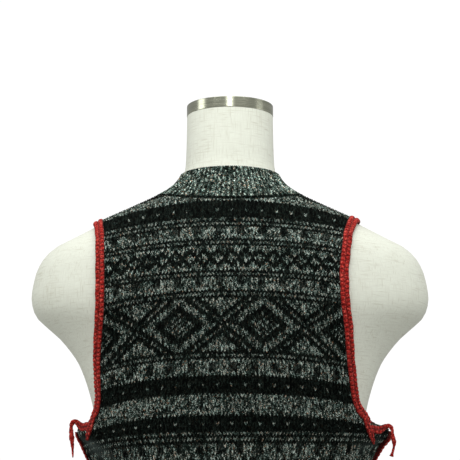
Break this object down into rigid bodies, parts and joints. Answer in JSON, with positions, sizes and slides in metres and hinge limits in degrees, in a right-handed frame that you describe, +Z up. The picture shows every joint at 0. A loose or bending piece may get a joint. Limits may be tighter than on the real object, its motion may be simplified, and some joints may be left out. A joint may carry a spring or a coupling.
{
  "type": "fair isle sweater vest on a dress form",
  "caption": "Sleeveless knitted Fair Isle vest with rib bands, red edgings and ties, worn by a limbless linen dress form that stands on its flat base.",
  "frame": {"origin": "centre of the dress form's flat base, on the surface it stands on", "axes": "+Z up; the back of the vest faces -Y and its front faces +Y; +X is to the right as the back is seen"},
  "size_m": [0.476, 0.2387, 0.8],
  "materials": {
    "linen": "matt woven linen",
    "steel": "brushed",
    "knit": "stranded wool knitting",
    "rib": "1x1 rib wool knitting",
    "edging": "crocheted wool edging"
  },
  "bodies": {
    "root": {"form_body": "linen", "neck_cap": "steel", "back_panel": "knit", "front_panel": "knit", "neckband": "rib", "hem_rib_back": "rib", "hem_rib_front": "rib", "armhole_trim_left": "edging", "armhole_trim_right": "edging", "side_trim_left": "edging", "side_trim_right": "edging", "tie_left": "edging", "tie_right": "edging"}
  },
  "joints": []
}
